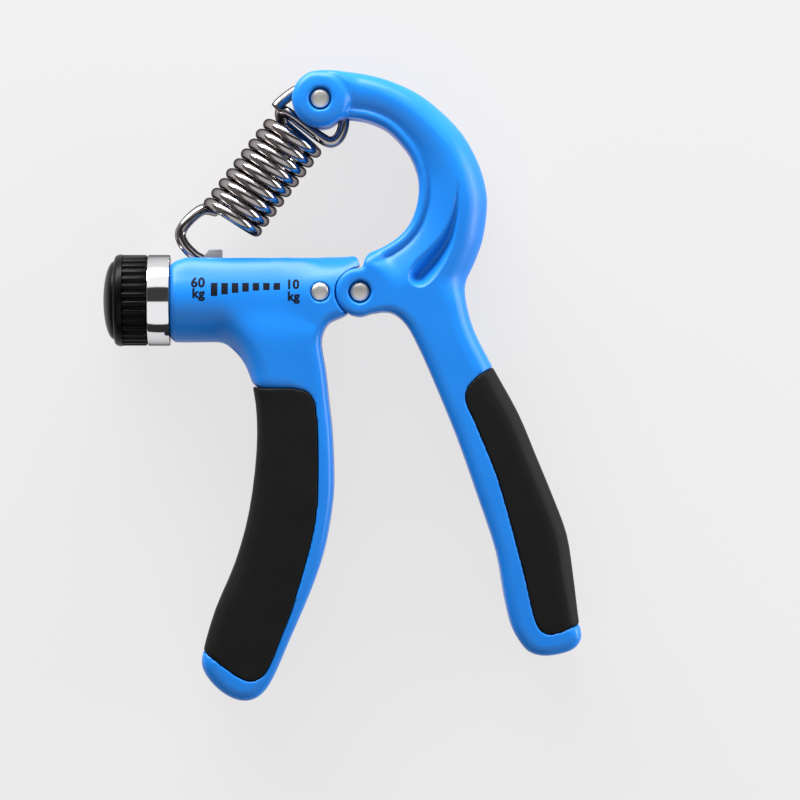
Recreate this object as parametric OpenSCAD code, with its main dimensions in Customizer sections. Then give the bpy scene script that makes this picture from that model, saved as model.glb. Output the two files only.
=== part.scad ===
// Adjustable hand grip strengthener: two handles on a pivot, a tension spring across them,
// and a knob whose lead screw moves the spring's anchor nut along a barrel.
// X runs along the barrel, Y from the feet of the handles to the tip of the arm, Z is the thickness.
// The origin is on the pivot's axis, in the plane of the flat side faces.

/* [Body] */
// Thickness of both handles, from one flat side face to the other
thickness = 20; // [18:0.5:24]
// How round the handles' edges are, as a share of their full radius
edge_scale = 1; // [0.5:0.05:1]
// Thickness of the rubber over the grips
pad_t = 2.2; // [1.5:0.1:3]
// Length of the handles below the pivot
handle_length = 87.7; // [80:0.1:96]

/* [Barrel] */
// Outer diameter of the barrel
barrel_d = 18.2; // [16.5:0.1:19]
// Chamfer at the barrel's open end
barrel_chamfer = 1; // [0.5:0.1:2]
// Diameter of the bore that guides the nut
barrel_bore_d = 12; // [11:0.1:13]
// Length of the bush at the inner end of the bore
bush_length = 3; // [2:0.1:3.2]
// Width of the slot along the barrel's top
slot_w = 7; // [6:0.1:8]

/* [Hinge] */
// Diameter of the pivot pin
pivot_pin_d = 4; // [3:0.1:5]
// Diameter of the fixed pin that holds the hinge plate
plate_pin_d = 3.7; // [3:0.1:4.5]
// Distance from the pivot pin to the fixed pin
pin_pitch = 8.5; // [8:0.1:9]
// Radius of the rear handle's knuckle
knuckle_r = 5.25; // [4.8:0.05:5.6]
// Thickness of the hinge plate
plate_t = 5; // [3:0.1:6]
// Radius of the hinge plate's round ends
plate_r = 4.6; // [3.8:0.1:4.6]
// Thickness of the washers beside the hinge plate
washer_t = 0.5; // [0.3:0.1:1]

/* [Tip] */
// Radius of the round head at the tip of the arm
head_r = 6.1; // [5.5:0.1:6.5]
// Diameter of the tip pin
tip_pin_d = 4; // [3:0.1:4.2]
// Width of the slot that the spring's loop turns in
loop_slot_w = 3.2; // [2.8:0.1:4]
// How far the pins' ends lie below the side faces
pin_recess = 0.5; // [0.2:0.1:1]
// Extra radius of the counterbores round the pins' ends
counterbore = 0.5; // [0.3:0.1:0.8]

/* [Spring] */
// Wire diameter of the spring
wire_d = 2.05; // [1.6:0.05:2.1]
// Outer diameter of the coil
coil_d = 14.2; // [13:0.1:15]
// Number of turns
coil_turns = 9; // [6:1:9]
// Rise of the coil in one turn
coil_pitch = 2.66; // [2.6:0.02:2.7]
// Distance from the tip pin to the first turn
coil_start = 8.6; // [8.2:0.1:9]

/* [Adjuster] */
// Diameter of the lead screw
screw_d = 6; // [5:0.1:6.4]
// Length of the adjuster nut
nut_length = 8; // [7:0.1:8.6]
// Travel of the adjuster nut from the strong to the weak setting
nut_travel = 13.4; // [9:0.1:13.6]
// Diameter of the hook pin
hook_pin_d = 2.5; // [2:0.1:2.7]
// Width of the nut's two ears together with the gap between them
ears_w = 6.2; // [5:0.1:6.4]
// Gap between the ears, where the spring's hook sits
hook_gap = 2.8; // [2.6:0.1:3.2]
// Height of the pointer lug above the barrel
pointer_h = 1.8; // [0.5:0.1:2.5]

/* [Knob] */
// Diameter of the knob over its ribs
knob_d = 19.8; // [18:0.1:20]
// Length of the knob
knob_length = 7.1; // [6:0.1:9]
// Length of the knob's smooth rim
rim_length = 1.8; // [1:0.1:3]
// Number of ribs round the knob
rib_count = 32; // [24:1:40]
// Depth of the ribs
rib_depth = 0.45; // [0.2:0.05:0.6]
// Diameter of the domed cap
cap_d = 17; // [13:0.1:17.5]
// Height of the domed cap
cap_h = 2.4; // [1.5:0.1:3.5]
// Diameter of the polished collar
collar_d = 19.6; // [18.4:0.1:19.8]
// Length of the polished collar
collar_length = 4.8; // [4:0.1:6]
// Diameter of the screw that holds the knob
knob_screw_d = 3; // [2:0.1:3.2]

/* [Hidden] */
$fn = 64;
cut = 0.5;              // how far a cut runs past the face that it opens
running = 0.05;         // radial clearance of a pin or shaft that turns
gap = 0.3;              // space between pieces that move past each other
face_gap = 0.15;        // space between faces that turn on each other
mid_z = thickness / 2;

// Places
barrel_y = -1.7;        // the barrel's axis below the pivot
barrel_x = -40.9;       // the barrel's open end
tip = [-8.5, 41.4];     // the tip pin
hook_rise = 7;          // the hook pin above the barrel's axis
hook_y = barrel_y + hook_rise;
lean = 53;              // the spring's angle above the barrel
along = [-cos(lean), -sin(lean)];   // from the tip pin to the hook pin
across = [sin(lean), -cos(lean)];
hook_s = (tip.y - hook_y) / sin(lean);
hook_x = tip.x + along.x * hook_s;
nut_end_x = hook_x + nut_length / 2;
bore_end_x = nut_end_x + nut_travel + gap + bush_length;
bore_length = bore_end_x - barrel_x;
screw_core_gap = 0.4;

// Outlines, as the points that a smooth curve passes through, each with its edge's radius
function clockwise_arc(place, r, from, sweep, n, edge) = [
    for (k = [0:n]) let (a = from - sweep * k / n) [place.x + r * cos(a), place.y + r * sin(a), edge]
];
rear_outline = concat(
    clockwise_arc(tip, head_r, -46, 214, 8, 1), [
    [-3.6, 47.4, 2], [4.2, 46.1, 3], [11.3, 43.3, 3.6], [16.7, 39.5, 4], [22, 34, 4],
    [25.5, 27.6, 4], [27.1, 22, 4], [27.3, 17.7, 4], [26.4, 11.3, 4], [24.5, 6, 4], [22.7, 2, 4],
    [22.8, -2, 4], [24.5, -8.2, 4], [28.3, -15.7, 4], [33.9, -25.8, 4], [37.6, -34.6, 4],
    [41.6, -44.3, 4], [44.4, -52, 4], [45.7, -60, 4], [46.9, -70, 3], [47.5, -74, 2.2],
    [45.9, -76.5, 2], [42.6, -77.7, 2], [39, -78, 2], [36, -77, 2.2], [33.9, -74.4, 2.2],
    [32.4, -71.3, 2.2], [30.9, -64.8, 2.2], [29.3, -55.8, 2.2], [25.2, -43.5, 2.2],
    [20.7, -30.8, 2.2], [15.4, -18, 2.2], [12.4, -11.4, 2.2], [9.8, -6.8, 2], [6.6, -4.4, 1.6]
    ],
    clockwise_arc([0, 0], knuckle_r, -60, 216, 8, 1), [
    [0.9, 6.6, 1], [2, 8.3, 1.2], [4.9, 9.6, 1.8], [8.5, 12, 2.1],
    [11, 15.2, 2.1], [12.4, 19.5, 2.1], [12.6, 24.1, 2.1], [11.3, 28.3, 2.1], [9.2, 31.5, 2.1],
    [6, 34.7, 2.1], [2.4, 36.5, 2], [-1.6, 37.3, 1.6]
    ]
);
barrel_top = barrel_y + barrel_d / 2;
front_outline = [
    [-14.6, 6.9, 3], [-9, barrel_top, 3], [-4.5, barrel_top + 0.1, 2.4], [-1.8, 7.3, 1.6],
    [0.2, 5.2, 1.2], [0.3, 2.2, 1.2], [0.2, -1.2, 1.2], [-1.4, -4, 1.6], [-4.2, -5.5, 1.8],
    [-6.6, -6.6, 2], [-7.9, -8.6, 2], [-8.3, -11.4, 2.2], [-7.4, -16.8, 2.2], [-6.7, -23.2, 2.2],
    [-5.9, -30.9, 2.2], [-5.6, -41.6, 2.2], [-6.4, -49.1, 2.2], [-7.9, -56.4, 2.2],
    [-10.8, -64.8, 2.2], [-15.2, -75, 2.2], [-18.6, -82.8, 2.2], [-21.2, -86.4, 2.2],
    [-24.3, -87.7, 2.2], [-27.8, -86.9, 2.2], [-31.2, -84.4, 2.4], [-33.6, -81, 2.8],
    [-33.7, -77.4, 3.2], [-31, -68, 3.8], [-26.8, -58, 4], [-23.8, -47, 4], [-22.2, -34, 4],
    [-22.4, -24, 4], [-24.2, -16.6, 4], [-26.8, -12.8, 4], [-30, -10, 4], [-31.2, -6.2, 4],
    [-29.4, -2.4, 4], [-25.4, 1, 4], [-20.4, 4.6, 3.6]
];
recess_outline = [
    [20.9, 24.4], [21.4, 20.5], [21.2, 15.8], [20.1, 10], [18.2, 5.7], [15.9, 2.4], [13.4, 0.8],
    [11, 1.4], [10.1, 3.6], [11.6, 6.6], [14.4, 9.2], [17, 12], [19.2, 15.8], [20.3, 20]
];
rear_pad_outline = [
    [22.6, -23], [24.8, -28.4], [29.3, -39.4], [32.6, -50.8], [35.3, -61.1], [37.3, -69.6],
    [38.9, -72.8], [42, -73.2], [46.9, -71.2], [54, -68], [54, -45], [48, -28], [35, -14],
    [28, -16.4], [24, -19.2]
];
front_pad_outline = [
    [-12.8, -20.9], [-10.2, -22.6], [-9.3, -25.8], [-8.8, -36.3], [-9.6, -50], [-13.8, -65.8],
    [-16.7, -73.7], [-19.5, -80.6], [-21.8, -83], [-24.6, -83.2], [-28, -81.2], [-34, -76.6],
    [-42, -70], [-40, -50], [-34, -28], [-28, -20.4], [-20, -20.7]
];
steps_per_point = 3;
edge_steps = 4;
recess_depth = 1.2;
loop_space_r = 9.6;     // the space round the tip pin that the spring's loop sweeps

// Catmull-Rom curve through the points: the point at t on the stretch from p1 to p2
function curve_at(p0, p1, p2, p3, t) =
    0.5 * (2 * p1 + (p2 - p0) * t + (2 * p0 - 5 * p1 + 4 * p2 - p3) * t * t
           + (3 * p1 - p0 - 3 * p2 + p3) * t * t * t);
function closed_curve(p, n = steps_per_point) = [
    for (i = [0:len(p) - 1], j = [0:n - 1])
        curve_at(p[(i + len(p) - 1) % len(p)], p[i], p[(i + 1) % len(p)], p[(i + 2) % len(p)], j / n)
];
function open_curve(p, n) = [
    for (i = [0:len(p) - 2], j = [0:n - 1])
        curve_at(p[max(i - 1, 0)], p[i], p[i + 1], p[min(i + 2, len(p) - 1)], j / n)
];
function unit(v) = v / norm(v);

// An outline whose grips, below their tops, are stretched to the handles' length
grip_top_y = -20;
drawn_length = 87.7;
grip_stretch = (handle_length + grip_top_y) / (drawn_length + grip_top_y);
function to_length(outline) = [for (p = outline) [
    for (i = [0:len(p) - 1]) i == 1 && p.y < grip_top_y ? grip_top_y + (p.y - grip_top_y) * grip_stretch : p[i]
]];

// A clockwise outline drawn in, each point along the mean normal of its two sides
function flat(p) = [for (q = p) [q.x, q.y]];
function inward(p, d) = [
    for (i = [0:len(p) - 1])
        let (a = unit(p[i] - p[(i + len(p) - 1) % len(p)]),
             b = unit(p[(i + 1) % len(p)] - p[i]),
             m = unit(a + b))
        p[i] + [m.y, -m.x] * (is_list(d) ? d[i] : d) / max(0.7, m * a)
];

// A plate of full thickness, whose edges are rounded by the radius that goes with each point
module rounded_plate(outline) {
    p = closed_curve(to_length(outline));
    n = len(p);
    bottom = [for (k = [0:edge_steps]) [1 - sin(90 * k / edge_steps), 1 - cos(90 * k / edge_steps)]];
    levels = concat([for (b = bottom) [b.x, b.y, 0]],
                    [for (k = [edge_steps:-1:0]) [bottom[k].x, -bottom[k].y, thickness]]);
    points = [for (l = levels) let (q = inward(flat(p), [for (v = p) l.x * edge_scale * v[2]]))
        each [for (i = [0:n - 1]) [q[i].x, q[i].y, l[2] + l.y * edge_scale * p[i][2]]]];
    last = (len(levels) - 1) * n;
    polyhedron(
        points = points,
        faces = concat(
            [[for (i = [n - 1:-1:0]) i]],
            [[for (i = [0:n - 1]) last + i]],
            [for (k = [0:len(levels) - 2], i = [0:n - 1]) let (m = (i + 1) % n)
                each [[k * n + i, k * n + m, (k + 1) * n + m], [k * n + i, (k + 1) * n + m, (k + 1) * n + i]]]
        )
    );
}

// The space that a rubber pad fills: its outline, without the handle's core
module pad_space(pad_outline, handle_outline) {
    difference() {
        translate([0, 0, -cut]) linear_extrude(thickness + 2 * cut)
            polygon(closed_curve(to_length(pad_outline)));
        translate([0, 0, pad_t]) linear_extrude(thickness - 2 * pad_t)
            polygon(inward(flat(closed_curve(to_length(handle_outline))), pad_t));
    }
}

// A hole for a pin, with a counterbore in each side face
module pin_hole(place, hole_d, pin_d) {
    translate([place.x, place.y, -cut]) cylinder(d = hole_d, h = thickness + 2 * cut);
    for (z = [-cut, thickness - 2 * pin_recess])
        translate([place.x, place.y, z]) cylinder(d = pin_d + 2 * counterbore, h = 2 * pin_recess + cut);
}

// A plain pin with chamfered ends, just below both side faces
module side_pin(place, pin_d) {
    chamfer = 0.3;
    length = thickness - 2 * pin_recess;
    translate([place.x, place.y, pin_recess]) {
        cylinder(d1 = pin_d - 2 * chamfer, d2 = pin_d, h = chamfer);
        translate([0, 0, chamfer]) cylinder(d = pin_d, h = length - 2 * chamfer);
        translate([0, 0, length - chamfer]) cylinder(d1 = pin_d, d2 = pin_d - 2 * chamfer, h = chamfer);
    }
}

// What turns or lies about the screw's axis, drawn along Z, starting at x
module on_screw_axis(x) {
    translate([x, barrel_y, mid_z]) rotate([0, 90, 0]) children();
}

// The slot for the hinge plate, round the fixed pin and open towards the pivot
module plate_slot(width, clearance) {
    translate([0, 0, mid_z - width / 2]) {
        translate([-pin_pitch, 0, 0]) cylinder(r = plate_r + clearance, h = width);
        translate([-pin_pitch, -plate_r - clearance, 0]) cube([pin_pitch, 2 * (plate_r + clearance), width]);
    }
}

module front_body() color("dodgerblue") difference() {
    union() {
        resize([0, 0, thickness]) difference() {
            rounded_plate(front_outline);
            pad_space(front_pad_outline, front_outline);
        }
        on_screw_axis(barrel_x) {
            cylinder(d1 = barrel_d - 2 * barrel_chamfer, d2 = barrel_d, h = barrel_chamfer);
            translate([0, 0, barrel_chamfer]) cylinder(d = barrel_d, h = bore_length);
        }
    }
    on_screw_axis(barrel_x - cut) cylinder(d = barrel_bore_d, h = bore_length + cut);
    translate([barrel_x + wire_d / 2, barrel_y, mid_z - slot_w / 2])
        cube([bore_length - wire_d / 2, barrel_d, slot_w]);
    translate([0, 0, -cut]) cylinder(r = knuckle_r + gap, h = thickness + 2 * cut);
    plate_slot(plate_t, 0.1);
    pin_hole([-pin_pitch, 0], plate_pin_d, plate_pin_d);
}

module front_pad() color([0.12, 0.12, 0.13]) resize([0, 0, thickness]) intersection() {
    rounded_plate(front_outline);
    pad_space(front_pad_outline, front_outline);
}

module hinge_plate() color("silver") difference() {
    union() {
        plate_slot(plate_t, 0);
        translate([0, 0, mid_z - plate_t / 2]) cylinder(r = plate_r, h = plate_t);
    }
    for (hole = [[0, pivot_pin_d], [-pin_pitch, plate_pin_d]])
        translate([hole[0], 0, -cut]) cylinder(d = hole[1], h = thickness + 2 * cut);
}

module plate_pin() color("silver") side_pin([-pin_pitch, 0], plate_pin_d);

module pivot_pin() color("silver") side_pin([0, 0], pivot_pin_d);

module pivot_washers() color("gainsboro")
    for (z = [mid_z - plate_t / 2 - washer_t, mid_z + plate_t / 2]) translate([0, 0, z]) difference() {
        cylinder(r = plate_r, h = washer_t);
        translate([0, 0, -cut]) cylinder(d = pivot_pin_d, h = washer_t + 2 * cut);
    }

module rear_handle() color("dodgerblue") difference() {
    resize([0, 0, thickness]) difference() {
        rounded_plate(rear_outline);
        pad_space(rear_pad_outline, rear_outline);
        for (z = [-cut, thickness - recess_depth])
            translate([0, 0, z]) linear_extrude(recess_depth + cut) polygon(closed_curve(recess_outline));
    }
    translate([0, 0, mid_z - plate_t / 2 - washer_t - running])
        cylinder(r = knuckle_r + gap, h = plate_t + 2 * (washer_t + running));
    translate([tip.x, tip.y, mid_z - loop_slot_w / 2]) cylinder(r = loop_space_r, h = loop_slot_w);
    pin_hole([0, 0], pivot_pin_d + 2 * running, pivot_pin_d);
    pin_hole(tip, tip_pin_d + 2 * running, tip_pin_d);
}

module rear_pad() color([0.12, 0.12, 0.13]) resize([0, 0, thickness]) intersection() {
    rounded_plate(rear_outline);
    pad_space(rear_pad_outline, rear_outline);
}

module tip_pin() color("silver") side_pin(tip, tip_pin_d);

// The spring's wire: a loop round the tip pin, the coil, and a hook round the hook pin.
// A point is [across the spring, along it from the tip pin, towards the top side].
coil_r = (coil_d - wire_d) / 2;
first_angle = 230;
wire_clearance = 0.3;   // between the wire and the pins that it passes round
coil_length = coil_turns * coil_pitch;
loop_r = tip_pin_d / 2 + wire_d / 2 + wire_clearance;
hook_r = hook_pin_d / 2 + wire_d / 2 + wire_clearance;
function coil_point(turns) = [
    coil_r * cos(first_angle + 360 * turns),
    coil_start + coil_pitch * turns,
    coil_r * sin(first_angle + 360 * turns)
];
top_loop = [
    [-6, 4.2, 0], [-5.6, 1.9, 0], [-3.4, -1.2, 0], [0, -loop_r, 0], [3.9, -2, 0], [6.7, 0.6, 0],
    [7.9, 3.6, 0], [7.2, 5.8, 0], [4.6, 6.4, 0], [0, 6.4, 0], [-3.8, 6.4, 0], [-5.6, 6.9, -0.9]
];
low_hook = [
    [-6.2, hook_s - 11.2, -1.8], [-7.2, hook_s - 7.6, -0.3], [-7, hook_s - 4.3, 0], [-5, hook_s - 2.7, 0],
    [-1.7, hook_s - 2.1, 0], [0.9, hook_s - 2.2, 0], [hook_r, hook_s, 0], [hook_r * 0.7, hook_s + hook_r * 0.7, 0],
    [-hook_r * 0.4, hook_s + hook_r * 0.95, 0], [-hook_r, hook_s + 0.4, 0]
];
coil_rings = [for (i = [0:8 * coil_turns]) coil_point(i / 8)];
wire_path = concat(
    open_curve(concat(top_loop, [coil_point(0), coil_point(0.125)]), 2),
    [for (i = [1:len(coil_rings) - 1]) coil_rings[i]],
    open_curve(concat([coil_point(coil_turns)], low_hook), 2),
    [low_hook[len(low_hook) - 1]]
);
function in_space(q) = [
    tip.x + across.x * q[0] + along.x * q[1],
    tip.y + across.y * q[0] + along.y * q[1],
    mid_z + q[2]
];
wire_route = [for (i = [0:len(wire_path) - 1]) if (i == 0 || norm(wire_path[i] - wire_path[i - 1]) > 0.3)
    in_space(wire_path[i])];

// A tube along a route. Each ring's first direction is the last one's, turned square to the route.
wire_sides = 6;
function tangent(r, i) = unit(r[min(i + 1, len(r) - 1)] - r[max(i - 1, 0)]);
function square_to(v, t) = unit(v - (v * t) * t);
function frames(r) = [
    for (i = 0, t = tangent(r, 0), v = square_to([0.1, 0.2, 1], t); i < len(r);
         i = i + 1, t = tangent(r, min(i, len(r) - 1)), v = square_to(v, t)) [t, v]
];
module tube(route, radius) {
    f = frames(route);
    n = len(route);
    points = [for (i = [0:n - 1]) each [for (k = [0:wire_sides - 1])
        route[i] + radius * (cos(360 * k / wire_sides) * f[i][1]
                             + sin(360 * k / wire_sides) * cross(f[i][0], f[i][1]))]];
    polyhedron(
        points = points,
        faces = concat(
            [[for (k = [0:wire_sides - 1]) k]],
            [[for (k = [wire_sides - 1:-1:0]) (n - 1) * wire_sides + k]],
            [for (i = [0:n - 2], k = [0:wire_sides - 1]) let (a = i * wire_sides, m = (k + 1) % wire_sides)
                each [[a + k, a + wire_sides + k, a + wire_sides + m], [a + k, a + wire_sides + m, a + m]]]
        )
    );
}

module spring() color("silver") tube(wire_route, wire_d / 2);

// The least gap of the wire to itself, between points at least a third of a turn apart along it
skipped = 6;
self_gap = min([for (i = [0:len(wire_route) - 1], j = [i + skipped:1:len(wire_route) - 1])
    norm(wire_route[i] - wire_route[j])]) - wire_d;
echo(least_gap_of_the_spring_to_itself_mm = self_gap);

// The collar that holds the lead screw, fixed to the barrel's end
washer_d = 12;
thrust_t = 0.9;
clip_d = 9;
clip_t = 0.8;
clip_groove = 0.5;
collar_x = barrel_x - collar_length;
knob_x = collar_x - face_gap;
module collar() color("gainsboro") on_screw_axis(collar_x) difference() {
    cylinder(d = collar_d, h = collar_length);
    translate([0, 0, -cut]) cylinder(d = screw_d + 2 * running, h = collar_length + 2 * cut);
    translate([0, 0, -cut]) cylinder(d = washer_d, h = thrust_t + cut);
    translate([0, 0, collar_length - clip_t - 2 * gap]) cylinder(d = clip_d + 2 * gap, h = clip_t + 2 * gap + cut);
}

module thrust_washer() color("goldenrod") on_screw_axis(collar_x) difference() {
    cylinder(d = washer_d, h = thrust_t);
    translate([0, 0, -cut]) cylinder(d = screw_d + 2 * gap, h = thrust_t + 2 * cut);
}

module end_bush() color("goldenrod") on_screw_axis(bore_end_x - bush_length) difference() {
    cylinder(d = barrel_bore_d, h = bush_length);
    translate([0, 0, -cut]) cylinder(d = screw_d + 2 * running, h = bush_length + 2 * cut);
}

// The lead screw runs from inside the knob to the end bush
knob_grip = 3.6;
screw_x = knob_x - knob_grip;
screw_length = bore_end_x - screw_core_gap - screw_x;
knob_screw_depth = 6;
clip_x = barrel_x - clip_t - gap;
module lead_screw() color("silver") difference() {
    on_screw_axis(screw_x) cylinder(d = screw_d, h = screw_length);
    on_screw_axis(screw_x - cut) cylinder(d = knob_screw_d, h = knob_screw_depth + cut);
    on_screw_axis(clip_x) difference() {
        cylinder(d = screw_d + 2 * cut, h = clip_t);
        translate([0, 0, -cut]) cylinder(d = screw_d - 2 * clip_groove, h = clip_t + 2 * cut);
    }
}

module retaining_clip() color("dimgray") on_screw_axis(clip_x) difference() {
    cylinder(d = clip_d, h = clip_t);
    translate([0, 0, -cut]) cylinder(d = screw_d - 2 * clip_groove, h = clip_t + 2 * cut);
}

// The knob: a smooth rim, then ribs whose outline is a wave round the circle
screw_head_d = knob_screw_d + 2.5;
screw_head_h = 2.2;
knob_floor = 1;
points_per_rib = 6;
rib_drop = 0.1;         // how far the ribs' tops lie below the rim
ribbed = [for (i = [0:rib_count * points_per_rib - 1]) let (a = 360 * i / (rib_count * points_per_rib))
    (knob_d / 2 - rib_drop - rib_depth / 2 * (1 + cos(rib_count * a))) * [cos(a), sin(a)]];
knob_left = knob_x - knob_length;
module knob() color([0.09, 0.09, 0.1]) difference() {
    union() {
        on_screw_axis(knob_left + rim_length) linear_extrude(knob_length - rim_length) polygon(ribbed);
        on_screw_axis(knob_left) cylinder(d1 = knob_d - 1, d2 = knob_d, h = 0.5);
        on_screw_axis(knob_left + 0.5) cylinder(d = knob_d, h = rim_length - 0.5);
    }
    on_screw_axis(screw_x) cylinder(d = screw_d, h = knob_grip + cut);
    on_screw_axis(knob_left - cut) cylinder(d = knob_screw_d, h = knob_length);
    on_screw_axis(knob_left - cut)
        cylinder(d = screw_head_d + 2 * gap, h = knob_length - knob_grip - knob_floor + cut);
}

module knob_screw() color("dimgray") {
    on_screw_axis(screw_x - knob_floor) cylinder(d = knob_screw_d, h = knob_screw_depth + knob_floor);
    on_screw_axis(screw_x - knob_floor - screw_head_h) difference() {
        cylinder(d = screw_head_d, h = screw_head_h);
        translate([0, 0, -cut]) cylinder(d = screw_head_d / 2, h = screw_head_h / 2 + cut, $fn = 6);
    }
}

cap_ball_r = (pow(cap_d / 2, 2) + cap_h * cap_h) / (2 * cap_h);
module knob_cap() color([0.09, 0.09, 0.1]) on_screw_axis(knob_left - cap_h) intersection() {
    translate([0, 0, cap_ball_r]) sphere(r = cap_ball_r, $fn = 96);
    cylinder(d = cap_d + 2 * cut, h = cap_h);
}

// The nut: a round body in the bore, with two ears in the slot that hold the hook pin
pointer_length = 4.5;
pointer_x = hook_x + 1.5;
ear_top = hook_y + hook_pin_d / 2 + 0.45;
nut_x = hook_x - nut_length / 2;
module adjuster_nut() color("silver") difference() {
    union() {
        on_screw_axis(nut_x) cylinder(d = barrel_bore_d - 4 * running, h = nut_length);
        translate([nut_x + 1, barrel_y, mid_z - ears_w / 2]) cube([nut_length - 1, ear_top - barrel_y, ears_w]);
        translate([pointer_x, barrel_y + barrel_bore_d / 2 + gap, mid_z - ears_w / 2])
            cube([pointer_length, (barrel_d - barrel_bore_d) / 2 - gap + pointer_h, ears_w]);
    }
    on_screw_axis(nut_x - cut) cylinder(d = screw_d + 2 * running, h = nut_length + pointer_length + 2);
    translate([nut_x - cut, hook_y - hook_r - wire_d / 2 - gap, mid_z - hook_gap / 2])
        cube([nut_length + pointer_length + 2, barrel_d, hook_gap]);
    translate([hook_x, hook_y, -cut]) cylinder(d = hook_pin_d, h = thickness);
}

module hook_pin() color("silver")
    translate([hook_x, hook_y, mid_z - ears_w / 2]) cylinder(d = hook_pin_d, h = ears_w);

front_body();
front_pad();
hinge_plate();
plate_pin();
pivot_pin();
pivot_washers();
collar();
thrust_washer();
end_bush();
rear_handle();
rear_pad();
tip_pin();
spring();
knob();
knob_cap();
knob_screw();
lead_screw();
retaining_clip();
adjuster_nut();
hook_pin();
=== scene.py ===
import math

import bmesh
import bpy
import numpy as np
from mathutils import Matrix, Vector
from mathutils.bvhtree import BVHTree


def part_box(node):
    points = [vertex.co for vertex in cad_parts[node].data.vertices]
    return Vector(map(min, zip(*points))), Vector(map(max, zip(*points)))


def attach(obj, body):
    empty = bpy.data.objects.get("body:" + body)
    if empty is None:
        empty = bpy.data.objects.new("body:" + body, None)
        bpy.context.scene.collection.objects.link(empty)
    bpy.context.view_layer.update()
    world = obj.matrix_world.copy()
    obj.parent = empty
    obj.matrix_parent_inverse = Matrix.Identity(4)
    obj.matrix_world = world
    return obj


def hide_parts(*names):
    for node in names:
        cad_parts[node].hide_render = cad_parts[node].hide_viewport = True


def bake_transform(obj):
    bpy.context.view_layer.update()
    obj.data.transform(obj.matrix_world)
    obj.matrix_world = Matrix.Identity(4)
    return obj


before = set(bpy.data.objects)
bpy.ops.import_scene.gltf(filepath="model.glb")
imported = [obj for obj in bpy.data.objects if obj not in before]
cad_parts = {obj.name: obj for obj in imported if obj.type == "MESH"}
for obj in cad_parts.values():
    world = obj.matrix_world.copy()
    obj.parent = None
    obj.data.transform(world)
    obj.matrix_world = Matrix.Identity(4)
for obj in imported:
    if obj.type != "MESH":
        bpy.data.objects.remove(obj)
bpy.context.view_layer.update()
scene = bpy.context.scene
scene.view_settings.view_transform = "Standard"

# ---- Camera -------------------------------------------------------------------------------
# The strengthener lies on its flat side faces and is seen from straight above, from 1.2 m,
# as a product shot on a copy stand is taken.
MM = 0.001
VIEW_CENTRE = Vector((8.61 * MM, -23.19 * MM))
FACE_HEIGHT = 18 * MM
VIEW_DISTANCE = 1200 * MM
FRAME_WIDTH = 171.44 * MM

camera_data = bpy.data.cameras.new("camera")
camera_data.sensor_width = 36
camera_data.lens = camera_data.sensor_width * VIEW_DISTANCE / FRAME_WIDTH
camera = bpy.data.objects.new("camera", camera_data)
camera.location = (VIEW_CENTRE.x, VIEW_CENTRE.y, FACE_HEIGHT + VIEW_DISTANCE)
scene.collection.objects.link(camera)
scene.camera = camera


# ---- Studio: floor, dome and lamps --------------------------------------------------------
# A pale matt table under a dome with two long softboxes. Bright metal shows them as white
# bands with dark gaps between, and the paint shows them as soft light on its upper edges.
def srgb(code):
    """The linear colour of a hex value such as 2E86E2."""
    parts = [int(code[i : i + 2], 16) / 255 for i in (0, 2, 4)]
    return [p / 12.92 if p <= 0.04045 else ((p + 0.055) / 1.055) ** 2.4 for p in parts] + [1.0]


def add(tree, kind, settings=None, inputs=None, **links):
    """A node of that kind, with its settings, its sockets' values and the sockets that feed it."""
    node = tree.nodes.new(kind)
    for key, value in (settings or {}).items():
        setattr(node, key, value)
    for key, value in (inputs or {}).items():
        node.inputs[key].default_value = value
    for key, source in links.items():
        name = int(key[1:]) if key[1:].isdigit() else key.replace("_", " ")
        tree.links.new(source, node.inputs[name])
    return node


def ramp_stops(node, stops):
    """Sets a colour ramp's stops, given as places and colours."""
    elements = node.color_ramp.elements
    while len(elements) > 1:
        elements.remove(elements[-1])
    for k, (place, colour) in enumerate(stops):
        stop = elements[0] if k == 0 else elements.new(place)
        stop.position = place
        stop.color = colour


def grey(level):
    return (level, level, level, 1)


# Brightness of the dome by angle from straight up, in degrees, positive towards the arm's tip
DOME = ((-180, 0.03), (-66, 0.03), (-63, 1.0), (-6, 1.0), (-3, 0.05),
        (32, 0.05), (35, 1.1), (94, 1.1), (98, 0.03), (180, 0.03))
DOME_STRENGTH = 2.0                 # the ramp holds at most 1, so the levels in it are divided by this
SIDE_LEVEL = 0.2                    # brightness of the dome at its two ends, along the barrel
SIDE_FROM, SIDE_TO = 0.45, 0.65     # where the ends begin, as a direction's share along the barrel

world = bpy.data.worlds.new("studio_dome")
world.use_nodes = True
scene.world = world
dome = world.node_tree
dome.nodes.clear()
direction = add(dome, "ShaderNodeTexCoord").outputs["Generated"]
parts = add(dome, "ShaderNodeSeparateXYZ", Vector=direction)
tilt = add(dome, "ShaderNodeMath", {"operation": "ARCTAN2"}, _0=parts.outputs["Y"], _1=parts.outputs["Z"])
place = add(dome, "ShaderNodeMath", {"operation": "MULTIPLY_ADD"}, {1: 1 / (2 * math.pi), 2: 0.5},
            _0=tilt.outputs[0])
bands = add(dome, "ShaderNodeValToRGB", Fac=place.outputs[0])
ramp_stops(bands, [((angle + 180) / 360, grey(level / DOME_STRENGTH)) for angle, level in DOME])
along = add(dome, "ShaderNodeMath", {"operation": "ABSOLUTE"}, _0=parts.outputs["X"])
ends = add(dome, "ShaderNodeMapRange", {"interpolation_type": "SMOOTHSTEP"},
           {"From Min": SIDE_FROM, "From Max": SIDE_TO}, Value=along.outputs[0])
levels = add(dome, "ShaderNodeMix", {"data_type": "RGBA"}, {"B": grey(SIDE_LEVEL / DOME_STRENGTH)},
             Factor=ends.outputs[0], A=bands.outputs["Color"])
glow = add(dome, "ShaderNodeBackground", inputs={"Strength": DOME_STRENGTH}, Color=levels.outputs["Result"])
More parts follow.
